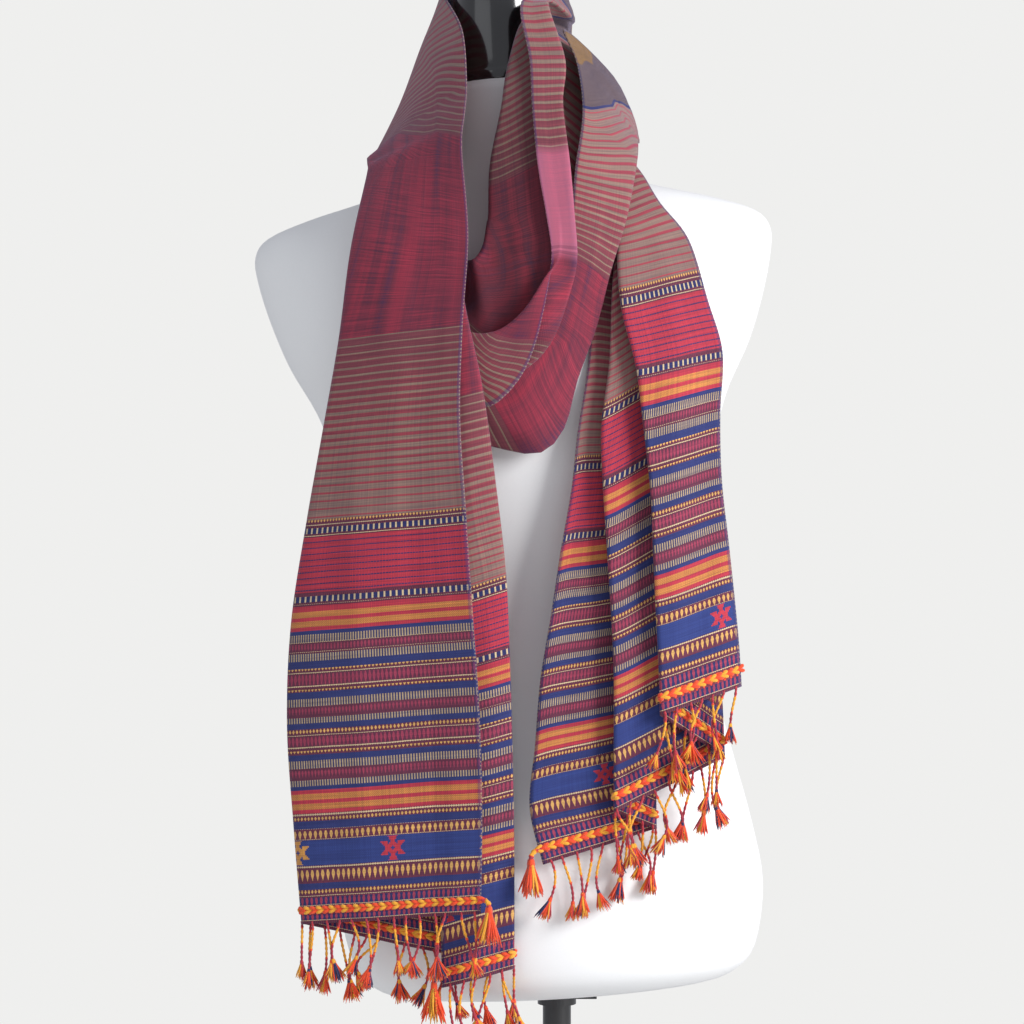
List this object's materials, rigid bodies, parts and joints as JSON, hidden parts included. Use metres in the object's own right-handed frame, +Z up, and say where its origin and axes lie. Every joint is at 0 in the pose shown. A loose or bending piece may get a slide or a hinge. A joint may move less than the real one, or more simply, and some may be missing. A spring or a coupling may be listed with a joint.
{
  "type": "stole wound once round the neck of a limbless dress form on its stand",
  "caption": "Long fringed stole in one strip, wound once round the neck of a limbless dress form, both ends falling in front, on a short pole with a round base.",
  "frame": {"origin": "centre of the base's underside, on the surface it stands on", "axes": "+X the viewer's right, -Y the front, +Z up"},
  "size_m": [0.4014, 0.3116, 1.1274],
  "materials": {
    "cloth": "handwoven, soft sheen",
    "fringe": "twisted yarn",
    "form": "matt white",
    "neck": "gloss black",
    "stand": "satin black"
  },
  "bodies": {
    "root": {"left_fall": "cloth", "neck_turn_outer": "cloth", "cowl_right": "cloth", "cowl_left": "cloth", "neck_turn_inner": "cloth", "right_fall": "cloth", "left_fringe": "fringe", "right_fringe": "fringe", "torso": "form", "neck_block": "neck", "pole_collar": "stand", "pole": "stand", "base": "stand"}
  },
  "joints": []
}
